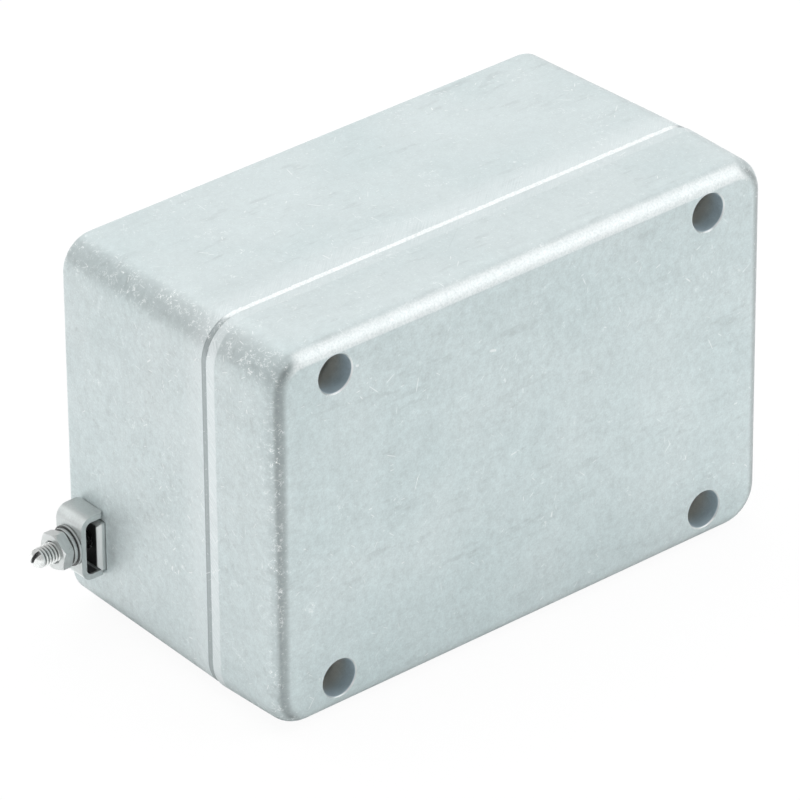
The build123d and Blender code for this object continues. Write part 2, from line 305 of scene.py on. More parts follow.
class CastingSettings(PropertyGroup):
    alloy: FloatVectorProperty(
        name="Alloy",
        description="Colour of the raw cast aluminium",
        subtype="COLOR",
        size=3,
        default=(0.553, 0.642, 0.650),
    )
    warm: FloatVectorProperty(
        name="Warm patches",
        description="Colour of the warmer clouds in the skin",
        subtype="COLOR",
        size=3,
        default=(0.570, 0.634, 0.640),
    )
    sanded: FloatVectorProperty(
        name="Sanded",
        description="Colour of the bare metal where the joint was sanded",
        subtype="COLOR",
        size=3,
        default=(0.74, 0.79, 0.80),
    )
    # Also the colour of the painted highlights on the edges and rims
    nick_and_highlight: FloatVectorProperty(
        name="Nicked",
        description="Colour of fresh metal in a nick",
        subtype="COLOR",
        size=3,
        default=(0.93, 0.95, 0.95),
    )
    # Dirt and painted shade in the joint share this colour
    dirt_and_shade: FloatVectorProperty(
        name="Dirt",
        description="Colour of the dirt in the joint",
        subtype="COLOR",
        size=3,
        default=(0.16, 0.19, 0.20),
    )
    # The recess colours paint the light inside the screw holes: bluish at the mouth, warm grey further
    # in
    recess: FloatVectorProperty(
        name="Recess wall",
        description="Colour of the as-cast wall near the mouth of a screw recess",
        subtype="COLOR",
        size=3,
        default=(0.50, 0.61, 0.67),
    )
    recess_deep: FloatVectorProperty(
        name="Recess depth",
        description="Colour of the same wall further in",
        subtype="COLOR",
        size=3,
        default=(0.64, 0.64, 0.60),
    )
    lid_strip: FloatProperty(
        name="Lid sanding",
        description="Width of the sanded strip on the lid beside the joint",
        unit="LENGTH",
        default=2.6 * MM,
    )
    base_strip: FloatProperty(
        name="Base sanding",
        description="Width of the sanded strip on the base beside the joint",
        unit="LENGTH",
        default=9 * MM,
    )
    rim_width: FloatProperty(
        name="Rim width",
        description="Width of the rims that meet at the joint, from the lid's outline inwards",
        unit="LENGTH",
        default=3.3 * MM,
    )
    rim_bevel: FloatProperty(
        name="Rim bevel",
        description="Depth of the bevel behind the base's rim",
        unit="LENGTH",
        default=0.9 * MM,
    )
    recess_radius: FloatProperty(
        name="Recess radius",
        description="Radius of the four screw recesses",
        unit="LENGTH",
        default=3.9 * MM,
    )
    roughness: FloatProperty(
        name="Roughness",
        description="Roughness of the cast skin",
        subtype="FACTOR",
        default=0.42,
    )
    metallic: FloatProperty(
        name="Metallic",
        description="How much the oxidised skin still reflects as metal",
        subtype="FACTOR",
        default=0.35,
    )


class HardwareSettings(PropertyGroup):
    plated: FloatVectorProperty(
        name="Plated steel",
        description="Colour of the nickel-plated nuts and washers",
        subtype="COLOR",
        size=3,
        default=(0.63, 0.655, 0.65),
    )
    bright: FloatVectorProperty(
        name="Stud steel",
        description="Colour of the bright stud",
        subtype="COLOR",
        size=3,
        default=(0.84, 0.86, 0.85),
    )
    satin: FloatVectorProperty(
        name="Satin steel",
        description="Colour of the satin bracket and plate",
        subtype="COLOR",
        size=3,
        default=(0.60, 0.635, 0.63),
    )
    strip_thickness: FloatProperty(
        name="Strip thickness",
        description="Thickness of the clamp bracket's strip",
        unit="LENGTH",
        default=1.15 * MM,
    )
    plate_bevel: FloatProperty(
        name="Plate bevel",
        description="Width of the bevel round the clamp plate's outer face",
        unit="LENGTH",
        default=0.75 * MM,
    )
    stud_hole: FloatProperty(
        name="Stud hole",
        description="Radius of the stud's hole in the clamp plate",
        unit="LENGTH",
        default=2.2 * MM,
    )
    spring_gap: FloatProperty(
        name="Spring washer gap",
        description="Width of the gap in the outer spring washer",
        unit="LENGTH",
        default=0.8 * MM,
    )
    spring_gap_slant: FloatProperty(
        name="Spring gap slant",
        description="Slant of that gap to the stud",
        subtype="ANGLE",
        default=math.radians(25.0),
    )
    spring_gap_turn: FloatProperty(
        name="Spring gap turn",
        description="Turn of that gap about the stud",
        subtype="ANGLE",
        default=math.radians(225.0),
    )
    dull: FloatVectorProperty(
        name="Screw steel",
        description="Colour of the dull lid screws",
        subtype="COLOR",
        size=3,
        default=(0.36, 0.35, 0.33),
    )
    thread_radius: FloatProperty(
        name="Thread radius",
        description="Outer radius of the M4 threads",
        unit="LENGTH",
        default=2.0 * MM,
    )
    pitch: FloatProperty(
        name="Pitch",
        description="Pitch of the M4 threads",
        unit="LENGTH",
        default=0.7 * MM,
    )
    groove: FloatProperty(
        name="Groove",
        description="Depth of the thread's groove",
        unit="LENGTH",
        default=0.40 * MM,
    )
    stud_dome: FloatProperty(
        name="Stud dome",
        description="Length of the round end of the stud",
        unit="LENGTH",
        default=1.5 * MM,
    )
    stud_slot_turn: FloatProperty(
        name="Stud slot turn",
        description="Turn of the slot in the stud's end",
        subtype="ANGLE",
        default=math.radians(-25.0),
    )
    stud_slot_width: FloatProperty(
        name="Stud slot width",
        description="Width of the slot in the stud's end",
        unit="LENGTH",
        default=0.8 * MM,
    )
    stud_slot_depth: FloatProperty(
        name="Stud slot depth",
        description="Depth of the slot in the stud's end",
        unit="LENGTH",
        default=1.0 * MM,
    )
    head_radius: FloatProperty(
        name="Head radius",
        description="Radius of the lid screws' heads",
        unit="LENGTH",
        default=3.5 * MM,
    )
    head_height: FloatProperty(
        name="Head height",
        description="Height of the lid screws' heads",
        unit="LENGTH",
        default=2.6 * MM,
    )
    waist_radius: FloatProperty(
        name="Waist radius",
        description="Radius of the lid screws' plain waist",
        unit="LENGTH",
        default=1.55 * MM,
    )
    thread_length: FloatProperty(
        name="Thread length",
        description="Threaded length of a lid screw",
        unit="LENGTH",
        default=8.0 * MM,
    )
    screw_slot: FloatProperty(
        name="Screw slot",
        description="Width and depth of the lid screws' slots",
        unit="LENGTH",
        default=1.1 * MM,
    )
    screw_turns: FloatVectorProperty(
        name="Screw turns",
        description="How far each lid screw was turned when it came tight, in degrees",
        size=4,
        default=(35.0, 110.0, 75.0, 150.0),
    )
    around: IntProperty(
        name="Around",
        description="Points round one turn of a thread",
        default=40,
    )


class StudioSettings(PropertyGroup):
    azimuth: FloatProperty(
        name="Azimuth",
        description="Turn of the camera about Z; 0 looks along +Y",
        subtype="ANGLE",
        default=math.radians(-40.141),
    )
    elevation: FloatProperty(
        name="Elevation",
        description="Height of the camera above the horizon",
        subtype="ANGLE",
        default=math.radians(30.545),
    )
    roll: FloatProperty(
        name="Roll",
        description="Turn of the picture about the line of sight",
        subtype="ANGLE",
        default=math.radians(-0.485),
    )
    distance: FloatProperty(
        name="Distance",
        description="From the camera to the point it looks at",
        unit="LENGTH",
        default=1.4,
    )
    target: FloatVectorProperty(
        name="Target",
        description="The point in the middle of the picture",
        subtype="TRANSLATION",
        size=3,
        default=(-3.675 * MM, -31.343 * MM, -3.180 * MM),
    )
    lens: FloatProperty(
        name="Lens",
        description="Focal length on a 36 mm sensor",
        unit="CAMERA",
        default=333.96,
    )
    floor: FloatVectorProperty(
        name="Floor",
        description="Colour of the plain floor",
        subtype="COLOR",
        size=3,
        default=(0.90, 0.90, 0.90),
    )
    floor_reach: FloatProperty(
        name="Floor reach",
        description="From the middle of the floor to its edges",
        unit="LENGTH",
        default=4.0,
    )
    floor_white: FloatProperty(
        name="Floor white",
        description="Share of plain white in the floor as seen",
        subtype="FACTOR",
        default=0.94,
    )
    right: FloatProperty(
        name="Right lamp",
        description="Power of the broad lamp on the right, in front and above",
        unit="POWER",
        default=2.35,
    )
    left: FloatProperty(
        name="Left lamp",
        description="Power of the broad lamp on the left, behind",
        unit="POWER",
        default=1.85,
    )
    top: FloatProperty(
        name="Top lamp",
        description="Power of the broad lamp above, behind",
        unit="POWER",
        default=13.8,
    )
    streak: FloatProperty(
        name="Streak lamp",
        description="Power of the lamp that shows in reflections only",
        unit="POWER",
        default=3.4,
    )
    room: FloatProperty(
        name="Room light",
        description="Strength of the even light from all round",
        default=0.595,
    )


def opaque(color):
    return (*color, 1.0)


class CastSkin(Surface):
    """Raw die-cast aluminium, with the directions, noises and places that its parts share."""

    def __init__(self, look):
        super().__init__("cast_aluminium", look.metallic, look.roughness)
        self.look = look
        self.x, self.y, self.z = self.place.parts()
        self.nx, self.ny, self.nz = abs(self.normal).parts()
        self.up = self.normal.dot((0.0, 0.0, 1.0))
        self.cloud = self.noise(22 * MM, 2.0, shift=3.1)
        self.patch = self.noise(4.5 * MM, 2.0, shift=7.7)
        self.mottle = self.noise(1.3 * MM, 3.0, shift=5.2)
        self.grain = self.noise(0.4 * MM, 1.0, shift=1.3)
        # Depth behind the joint; the lid lies below 0
        self.from_joint = self.y - joint_y
        self.on_base = self.from_joint.rise(-0.05 * MM, 0.05 * MM)
        self.on_lid = 1.0 - self.on_base
        inner_x, inner_z = lid_high.x - look.rim_width, lid_high.z - look.rim_width
        beyond = (abs(self.x) - inner_x).larger(abs(self.z) - inner_z)
        self.outside = beyond.rise(0.0, 0.2 * MM)

    def edges(self):
        """Shares of any edge, the front's upright edges, the box's corners and the edge with the
        painted highlight.
        """
        # The front's upright edges get strong painted shade in place of the dark reflection along them
        upright = self.ny.rise(0.62, 0.83) * self.nx.rise(0.07, 0.42)
        corner = self.nx.smaller(self.nz).rise(0.20, 0.55)
        # Painted highlight: the lid's upper front edge is painted pale where the light catches it
        edge_highlight = self.up.rise(0.13, 0.30) * self.ny.rise(0.40, 0.68) * self.nx.rise(0.30, 0.10)
        edge = self.nx.larger(self.ny).larger(self.nz).rise(0.97, 0.80) * (1.0 - edge_highlight)
        return edge, upright, corner, edge_highlight

    def tone(self):
        """Brightness of the skin: blotches, fainter on level faces, and painted light that makes walls
        brighter lower down.
        """
        blotches = 0.14 * (self.patch - 0.5) + 0.32 * (self.mottle - 0.5) + 0.26 * (self.grain - 0.5)
        # Painted light: walls brighter towards the bottom, in place of the floor's bounce light
        shade = 1.2 * (1.0 - self.nz) * self.z
        return 1.0 + 0.12 * (self.cloud - 0.5) + (1.0 - 0.5 * self.nz) * blotches - shade

    def streaks(self):
        """Slanted lines left by sanding, along the walls on both sides of the joint."""
        width, reach = 0.22 * MM, 8 * MM
        on_end = self.nx.rise(0.5, 0.8)
        run = on_end * self.z + (1.0 - on_end) * self.x
        across = (run - 1.1 * self.y) * (1 / width)
        along = (run + 0.9 * self.y) * (1 / reach)
        return self.noise_at(self.vector(across, along, 0.0), 1.0)

    def sanding(self):
        """Share of bare sanded metal: a strip on each side of the joint, and both rims' faces."""
        lid_strip, base_strip = self.look.lid_strip, self.look.base_strip
        base_fade = self.from_joint + 9 * MM * (self.cloud - 0.5)
        base_fade = base_fade.rise(base_strip, 0.2 * base_strip)
        lid_fade = 0.6 * MM * (self.patch - 0.5) - self.from_joint
        lid_fade = lid_fade.rise(lid_strip + 0.25 * MM, lid_strip - 0.25 * MM)
        side_wall = self.ny.rise(0.5, 0.3) * self.outside
        lid_share = 0.75 - 0.50 * self.up.rise(0.5, 0.9)
        strips = self.on_base * base_fade * 0.42 + self.on_lid * lid_fade * lid_share
        rim_face = abs(self.from_joint).rise(0.30 * MM, 0.25 * MM) * self.ny.rise(0.90, 0.95)
        return (strips * side_wall).larger(0.8 * rim_face)

    def rim_bevel(self):
        """Shares of the base's bevelled rim: a painted highlight on top, and dirt with painted shade
        at the sides.
        """
        rim = (base_low.y - lid_high.y) / 2
        foot = rim + self.look.rim_bevel
        on_top = self.up.rise(0.88, 0.985)
        ragged = self.from_joint + 0.5 * MM * (self.noise(0.7 * MM, 2.0, shift=21.0) - 0.5)
        # Painted highlight where the bevel faces up
        bevel_highlight = ragged.rise(rim - 0.08 * MM, rim + 0.10 * MM)
        bevel_highlight = bevel_highlight * ragged.rise(foot + 0.06 * MM, foot - 0.10 * MM) * self.outside * on_top
        bevel_highlight = bevel_highlight * (0.66 + 1.2 * (self.grain - 0.5)).smaller(1.0)
        bevel = self.from_joint.rise(rim - 0.08 * MM, rim)
        bevel = bevel * self.from_joint.rise(foot + 0.06 * MM, foot - 0.06 * MM)
        # The dark line at the bevel's foot is painted shade
        line = self.from_joint.rise(foot - 0.12 * MM, foot - 0.04 * MM)
        line = line * self.from_joint.rise(foot + 0.16 * MM, foot + 0.06 * MM)
        dirt_and_shade = (0.52 * bevel + 0.35 * line).smaller(0.8) * self.outside * (1.0 - on_top)
        return bevel_highlight, dirt_and_shade

    def marks(self, edges):
        """Bright marks of handling, the chips among them, and how far faint marks darken."""
        crowd = self.noise(12 * MM, 1.0, shift=9.4).rise(0.40, 0.62)
        nicks = self.nicks(2.6 * MM, 0.7 * MM, 0.09 * MM, 2.0) * (0.25 + 0.75 * crowd)
        curls = self.nicks(5.2 * MM, 1.5 * MM, 0.11 * MM, 8.0) * crowd
        chips = self.noise(0.42 * MM, 1.0, shift=12.0).rise(0.68, 0.74)
        threads = abs(self.noise(0.8 * MM, 1.0, shift=17.0) - 0.5).rise(0.045, 0.015)
        edge_chips = threads * self.mottle.rise(0.47, 0.56) * edges * self.patch.rise(0.36, 0.56)
        swarm = threads * self.mottle.rise(0.56, 0.64)
        swarm = swarm * self.noise(7 * MM, 1.0, shift=27.0).rise(0.58, 0.66)
        bright = 0.55 * nicks + 0.50 * curls + 0.30 * chips + 0.50 * edge_chips + 0.40 * swarm
        scratches = self.nicks(26 * MM, 7 * MM, 0.12 * MM, 4.0)
        smudge = self.noise(1.6 * MM, 2.0, stretch=(4, 1, 1), shift=15.0).rise(0.56, 0.70) * crowd
        return bright.smaller(1.0), chips, 1.0 - 0.06 * scratches - 0.09 * smudge

    def recesses(self):
        """Shares of the screw recesses' walls and of their rims with a painted highlight, and the
        walls' colour with painted light.
        """
        radius, screw = self.look.recess_radius, (screw_low + screw_high) / 2
        away = self.vector(abs(self.x) - abs(screw.x), 0.0, abs(self.z) - abs(screw.z))
        off_axis = away.length()
        depth = self.y - lid_low.y
        wall = off_axis.rise(radius + 0.09 * MM, radius + 0.03 * MM)
        wall = wall * depth.rise(0.15 * MM, 0.30 * MM) * self.on_lid
        # Painted highlight round the mouth of each recess
        rim = off_axis.rise(radius + 0.32 * MM, radius + 0.22 * MM)
        rim = rim * off_axis.rise(radius - 0.04 * MM, radius + 0.02 * MM)
        rim = rim * depth.rise(0.34 * MM, 0.28 * MM) * (0.2 + 0.8 * self.patch.rise(0.35, 0.6))
        # Painted light: the wall's colour shifts with depth
        deep = depth.rise(1.5 * MM, 5.5 * MM)
        return wall, rim, deep.blend(opaque(self.look.recess), opaque(self.look.recess_deep))


def cast_aluminium(look):
    """Raw die-cast skin: cloudy grey, fine grain, bright nicks, faint scratches, sanded joint."""
    s = CastSkin(look)
    tone = s.tone()
    edge, upright, corner, edge_highlight = s.edges()
    streaks, sanding = s.streaks(), s.sanding()
    bevel_highlight, dirt_and_shade = s.rim_bevel()
    bright, chips, faint = s.marks(edge.larger(corner))
    recess, rim, recess_painted_light = s.recesses()

    warmth = 1.6 * (s.cloud - 0.5) + 0.3 + 0.6 * s.nz.larger(0.8 * s.nx)
    skin = warmth.blend(opaque(look.alloy), opaque(look.warm)) * tone
    # Painted shade: rounded edges a little darker, the front's upright edges much darker
    skin = skin * (1.0 - 0.08 * edge - 0.38 * upright - 0.10 * corner) * faint
    # Painted highlight along the lid's upper front edge
    skin = (edge_highlight * (0.44 + 0.7 * (s.grain - 0.5))).blend(skin, opaque(look.nick_and_highlight))
    # Painted light on the recesses' walls
    skin = recess.blend(skin, recess_painted_light * tone)
    sanded = sanding * (0.9 + 2.4 * (streaks - 0.5))
    skin = sanded.smaller(1.0).blend(skin, opaque(look.sanded))
    # Dirt and painted shade in the joint at the sides
    skin = dirt_and_shade.blend(skin, opaque(look.dirt_and_shade))
    # Painted highlights on the rim bevel and round the recesses join the bright marks
    bright = bright.larger(bevel_highlight).larger(0.7 * rim) * (1.0 - 0.8 * recess)
    s.set("Base Color", bright.blend(skin, opaque(look.nick_and_highlight)))

    s.set("Roughness", look.roughness + 0.25 * (s.mottle - 0.5) - 0.06 * sanding)
    relief = 0.6 * s.mottle + 0.4 * s.grain + 1.2 * sanding * streaks - 0.8 * chips
    s.bump(relief, 0.012 * MM)
    return s.material


def within(s, low, high, soft):
    """1 inside the box between two corners, with a soft edge of that width."""
    share = 1.0
    for part, start, end in zip(s.place.parts(), low, high):
        share = (part - start).rise(0.0, soft) * (end - part).rise(0.0, soft) * share
    return share


def plain_metal(name, color, metallic, roughness, brushed, gap_shade=None, bend_highlight=0.0):
    """Plated or turned metal: fine lines, slight clouds and marks, a painted highlight on the bends
    and painted shade in gaps.
    """
    s = Surface(name, metallic, roughness)
    cloud = s.noise(4 * MM, 2.0, shift=2.0)
    lines = s.noise(0.4 * MM, 1.0, stretch=brushed, shift=6.0)
    marks = s.nicks(3.0 * MM, 0.6 * MM, 0.05 * MM, 3.0)
    tone = 1.0 + 0.25 * (cloud - 0.5) + 0.20 * (lines - 0.5) + 0.12 * marks
    # Painted highlight: the bends are made paler
    if bend_highlight:
        nx, _, nz = abs(s.normal).parts()
        tone = tone * (1.0 + bend_highlight * nx.smaller(nz).rise(0.25, 0.65))
    # Painted shade in gaps and crevices
    if gap_shade:
        tone = tone * (1.0 - 0.92 * gap_shade(s))
    s.set("Base Color", tone * tuple(color))
    s.set("Roughness", roughness + 0.18 * (cloud - 0.5) + 0.12 * (lines - 0.5))
    s.bump(lines, 0.006 * MM)
    return s.material


def clamp_gap_shade(s):
    """Painted shade, nearly black, in the gap between the bracket's bend and the plate."""
    soft, margin, end_margin = 0.2 * MM, 0.1 * MM, 1.0 * MM
    inner_face = bracket_low.x + bpy.context.scene.enclosure_hardware.strip_thickness
    low = (inner_face - soft, bracket_low.y + 0.35 * MM, bracket_low.z + end_margin)
    high = (plate_low.x + 0.25 * MM, bracket_high.y - margin, bracket_high.z - end_margin)
    return within(s, low, high, soft)


# Widths of the painted shade lines at each part's outer face
SEAM_WIDTHS = {
    "outer_nut": 0.20 * MM,
    "outer_spring_washer": 0.10 * MM,
    "outer_flat_washer": 0.16 * MM,
}


def seam_shade(s):
    """Painted shade: black lines where the outer nut and washers lie on one another."""
    x = s.place.parts()[0]
    lines = 0.0
    for node, width in SEAM_WIDTHS.items():
        lines = abs(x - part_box(node)[1].x).rise(width, 0.5 * width) + lines
    return lines.smaller(0.9)


def thread_shade(s):
    """Painted shade in the clamp's gap, at the root of the stud's thread and in the slot of its end.
    """
    look = bpy.context.scene.enclosure_hardware
    x, y, z = s.place.parts()
    y, z = y - stud_middle.y, z - stud_middle.z
    off_axis = s.vector(0.0, y, z).length()
    from_tip = x - stud_low.x
    core, dome = look.thread_radius - look.groove, look.stud_dome
    root = off_axis.rise(core + 0.24 * MM, core + 0.04 * MM)
    root = root * from_tip.rise(dome - 0.3 * MM, dome + 0.1 * MM)
    turn, half, depth = look.stud_slot_turn, look.stud_slot_width / 2, look.stud_slot_depth
    slot = abs(y * math.cos(turn) - z * math.sin(turn)).rise(half + 0.06 * MM, half + 0.01 * MM)
    slot = slot * from_tip.rise(0.1 * MM, 0.5 * MM)
    slot = slot * from_tip.rise(depth + 0.3 * MM, depth + 0.1 * MM)
    return clamp_gap_shade(s).larger(0.70 * root).larger(0.85 * slot)


def soft_material(name, color, roughness):
    """Dull moulded rubber, fibre or nylon with a fine grain."""
    s = Surface(name, 0.0, roughness)
    grain = s.noise(0.3 * MM, 2.0)
    cloud = s.noise(6 * MM, 2.0, shift=4.0)
    tone = 1.0 + 0.5 * (grain - 0.5) + 0.4 * (cloud - 0.5)
    s.set("Base Color", tone * color)
    s.set("Roughness", roughness + 0.2 * (grain - 0.5))
    s.bump(grain, 0.015 * MM)
    return s.material


class ENCLOSURE_OT_castings(Operator):
    """Gives the base and the lid their raw cast skin"""

    bl_idname = "enclosure.castings"
    bl_label = "Finish the castings"

    def execute(self, context):
        material = cast_aluminium(context.scene.enclosure_castings)
        for name, body in (("base_housing", "base"), ("lid", "lid")):
            whole = smooth_copy(name, body, material)
            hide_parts(name)
        return {"FINISHED"}


# Start of the nodes' names, material, colour and roughness
SOFT_PARTS = (
    ("lid_gasket", "gasket_rubber", (0.035, 0.035, 0.038), 0.60),
    ("screw_seal_", "seal_fibre", (0.06, 0.05, 0.045), 0.70),
    ("screw_retainer_", "natural_nylon", (0.62, 0.60, 0.52), 0.45),
)


class ENCLOSURE_OT_seals(Operator):
    """Gives the gasket, the sealing washers and the retaining washers their finish"""

    bl_idname = "enclosure.seals"
    bl_label = "Finish the seals"

    def execute(self, context):
        for start, name, color, roughness in SOFT_PARTS:
            dress(nodes_like(start), soft_material(name, color, roughness))
        return {"FINISHED"}


def stud_place(start_x):
    """Turns local Z out of the wall along the stud, from that X outwards."""
    return Matrix(
        (
            (0, 0, -1, start_x),
            (-1, 0, 0, stud_middle.y),
            (0, 1, 0, stud_middle.z),
            (0, 0, 0, 1),
        )
    )


class ENCLOSURE_OT_clamps(Operator):
    """Gives the earth clamps' plates, washers and nuts their plating"""

    bl_idname = "enclosure.clamps"
    bl_label = "Finish the clamps"

    def execute(self, context):
        look = context.scene.enclosure_hardware
        satin = plain_metal("satin_steel", look.satin, 0.75, 0.40, (1, 1, 8), clamp_gap_shade, 0.45)
        plated = plain_metal("plated_steel", look.plated, 0.85, 0.32, (1, 4, 4), seam_shade)
        flat = ["outer_clamp_bracket", "outer_clamp_plate"]
        dress([name for name in nodes_like("outer_", "inner_") if name not in flat], plated)
        dress(flat, satin)
        self.make_plate(look, satin)
        self.make_washer(look, "outer_flat_washer", plated)
        self.make_washer(look, "outer_spring_washer", plated, look.spring_gap_turn)
        return {"FINISHED"}

    def make_washer(self, look, node, material, gap_turn=None):
        """Washer with rounded edges, split where a gap's turn is given."""
        low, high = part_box(node)
        thickness, radius = high.x - low.x, (high.y - low.y) / 2
        round_off, steps = 0.15 * MM, 3
        outline = []
        for height, reach, start in (
            (thickness - round_off, radius - round_off, 90),
            (thickness - round_off, look.stud_hole + round_off, 0),
            (round_off, look.stud_hole + round_off, -90),
            (round_off, radius - round_off, 180),
        ):
            for step in range(steps + 1):
                angle = math.radians(start - 90 * step / steps)
                outline.append(
                    (height + round_off * math.cos(angle), reach + round_off * math.sin(angle))
                )
        ring = bmesh.new()
        turned(ring, outline + outline[:1], look.around)
        data = mesh_data(ring, node)
        if gap_turn is not None:
            tool = bmesh.new()
            size = Matrix.Diagonal((2 * radius, look.spring_gap, 3 * thickness, 1.0))
            slant = Matrix.Rotation(look.spring_gap_slant, 4, "X")
            at = Matrix.Translation((1.2 * radius, 0, thickness / 2))
            at = Matrix.Rotation(gap_turn, 4, "Z") @ at
            bmesh.ops.create_cube(tool, size=1.0, matrix=at @ slant @ size)
            data = cut(data, mesh_data(tool, "gap_cutter"))
        washer = placed([data], f"rounded_{node}", "outer_clamp", material, stud_place(high.x))
        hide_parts(node)

    def make_plate(self, look, material):
        """Plate with the broad bevel round its outer face that the plain CAD plate leaves out."""
        round_off, near, cutter_length = 0.10 * MM, 0.1 * MM, 6 * MM
        mesh = bmesh.new()
        size = Matrix.Diagonal((*(plate_high - plate_low), 1.0))
        middle = (plate_low + plate_high) / 2
        bmesh.ops.create_cube(mesh, size=1.0, matrix=Matrix.Translation(middle) @ size)
        rim = [e for e in mesh.edges if max(v.co.x for v in e.verts) < plate_low.x + near]
        bmesh.ops.bevel(mesh, geom=rim, offset=look.plate_bevel, segments=1, affect="EDGES")
        bmesh.ops.bevel(
            mesh, geom=mesh.edges[:], offset=round_off, segments=2, profile=0.5, affect="EDGES"
        )
        hole = bmesh.new()
        across = Matrix.Translation((middle.x, *stud_middle.yz))
        bmesh.ops.create_cone(
            hole,
            cap_ends=True,
            segments=48,
            radius1=look.stud_hole,
            radius2=look.stud_hole,
            depth=cutter_length,
            matrix=across @ Matrix.Rotation(math.pi / 2, 4, "Y"),
        )
        data = cut(mesh_data(mesh, "bevelled_plate"), mesh_data(hole, "plate_hole"))
        plate = placed([data], "bevelled_plate", "base", material, Matrix())
        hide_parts("outer_clamp_plate")


def helix(mesh, look, length, end_radius):
    """Threaded rod from the origin along Z, with a ramp down to the end radius at both ends."""
    root = look.thread_radius - look.groove
    # Crest, flank, root and flank of one turn: share of the pitch and radius
    profile = (
        (0.0, look.thread_radius),
        (0.12, look.thread_radius),
        (0.46, root),
        (0.66, root),
    )
    turns = math.ceil(length / look.pitch) + 2
    rows = []
    for turn in range(turns):
        for share, radius in profile:
            row = []
            for step in range(look.around):
                height = look.pitch * (turn - 1 + share + step / look.around)
                height = min(max(height, 0.0), length)
                ramp = end_radius + min(height, length - height)
                angle = 2 * math.pi * step / look.around
                reach = min(radius, ramp)
                row.append(
                    mesh.verts.new((reach * math.cos(angle), reach * math.sin(angle), height))
                )
            rows.append(row)
    per_turn = len(profile)
    for index in range(len(rows) - per_turn - 1):
        for step in range(look.around):
            wrap = step + 1 == look.around
            far = rows[index + per_turn] if wrap else rows[index]
            far_up = rows[index + per_turn + 1] if wrap else rows[index + 1]
            after = 0 if wrap else step + 1
            corners = [rows[index][step], far[after], far_up[after], rows[index + 1][step]]
            heights = {round(corner.co.z, 9) for corner in corners}
            if len(heights) > 1 or 0.0 < corners[0].co.z < length:
                mesh.faces.new(corners)


def turned(mesh, outline, around):
    """Surface of revolution about Z through (height, radius) pairs, closed where the radius is 0."""
    rings = []
    for height, radius in outline:
        if radius == 0:
            rings.append([mesh.verts.new((0, 0, height))] * around)
            continue
        angles = [2 * math.pi * step / around for step in range(around)]
        rings.append(
            [mesh.verts.new((radius * math.cos(a), radius * math.sin(a), height)) for a in angles]
        )
    for low, high in zip(rings, rings[1:]):
        for step in range(around):
            after = (step + 1) % around
            corners = [low[step], low[after], high[after], high[step]]
            mesh.faces.new(list(dict.fromkeys(corners)))


def rounded(height, radius, corner, steps=6):
    """Outline of a rounded end at that height: from the side of the rod to its axis."""
    angles = [math.pi / 2 * step / steps for step in range(steps + 1)]
    edge = [
        (height - corner + corner * math.sin(a), radius - corner + corner * math.cos(a))
        for a in angles
    ]
    return edge + [(height, 0)]


def mesh_data(mesh, name):
    """Closes the mesh, turns its faces outwards and hands it over as mesh data."""
    join_within = 0.0005 * MM
    bmesh.ops.remove_doubles(mesh, verts=mesh.verts, dist=join_within)
    bmesh.ops.dissolve_degenerate(mesh, edges=mesh.edges, dist=join_within)
    open_edges = [edge for edge in mesh.edges if edge.is_boundary]
    bmesh.ops.holes_fill(mesh, edges=open_edges, sides=0)
    bmesh.ops.recalc_face_normals(mesh, faces=mesh.faces)
    data = bpy.data.meshes.new(name)
    mesh.to_mesh(data)
    mesh.free()
    return data


def cut(data, tool_data):
    """The first closed mesh less the second."""
    block, tool = linked(data.name, data), linked(tool_data.name, tool_data)
    step = block.modifiers.new("cut", "BOOLEAN")
    step.operation = "DIFFERENCE"
    step.solver = "EXACT"
    step.object = tool
    apply_to(block, step)
    for made in (block, tool):
        bpy.data.objects.remove(made)
    bpy.data.meshes.remove(tool_data)
    return data


def slotted(data, width, depth, reach, turn, height):
    """The same end with a straight slot across it; its top is at that height."""
    tool = bmesh.new()
    size = Matrix.Diagonal((2 * reach, width, 2 * depth, 1.0))
    at = Matrix.Translation((0, 0, height)) @ Matrix.Rotation(turn, 4, "Z")
    bmesh.ops.create_cube(tool, size=1.0, matrix=at @ size)
    return cut(data, mesh_data(tool, "slot_cutter"))


def placed(parts, name, body, material, place):
    """Joins the meshes into one object on a body, standing along the place's Z axis."""
    joined = bmesh.new()
    for part in parts:
        joined.from_mesh(part)
        bpy.data.meshes.remove(part)
    bmesh.ops.transform(joined, matrix=place, verts=joined.verts)
    data = bpy.data.meshes.new(name)
    joined.to_mesh(data)
    joined.free()
    data.materials.append(material)
    data.shade_smooth()
    data.set_sharp_from_angle(angle=SHARP_ANGLE)
    made = linked(name, data)
    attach(made, body)
    return made


class ENCLOSURE_OT_stud(Operator):
    """Puts a threaded stud with a domed, slotted end in the place of the plain rod"""

    bl_idname = "enclosure.stud"
    bl_label = "Thread the stud"

    def execute(self, context):
        look = context.scene.enclosure_hardware
        tip, inner_end = stud_low.x, stud_high.x
        place = stud_place(inner_end)
        length = inner_end - tip
        core = look.thread_radius - look.groove
        shoulder = length - look.stud_dome
        thread = bmesh.new()
        helix(thread, look, shoulder, core)
        dome = bmesh.new()
        dome_radius = look.thread_radius - 0.06 * MM
        neck = [(shoulder - 0.35 * MM, core - 0.1 * MM), (shoulder - 0.05 * MM, dome_radius)]
        turned(dome, neck + rounded(length, dome_radius, look.stud_dome), look.around)
        end = slotted(
            mesh_data(dome, "dome"),
            look.stud_slot_width,
            look.stud_slot_depth,
            look.thread_radius,
            look.stud_slot_turn + math.pi / 2,
            length,
        )
        rod = placed(
            [mesh_data(thread, "thread"), end],
            "threaded_stud",
            "base",
            plain_metal("stud_steel", look.bright, 0.9, 0.28, (1, 4, 4), thread_shade),
            place,
        )
        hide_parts("earth_stud")
        return {"FINISHED"}


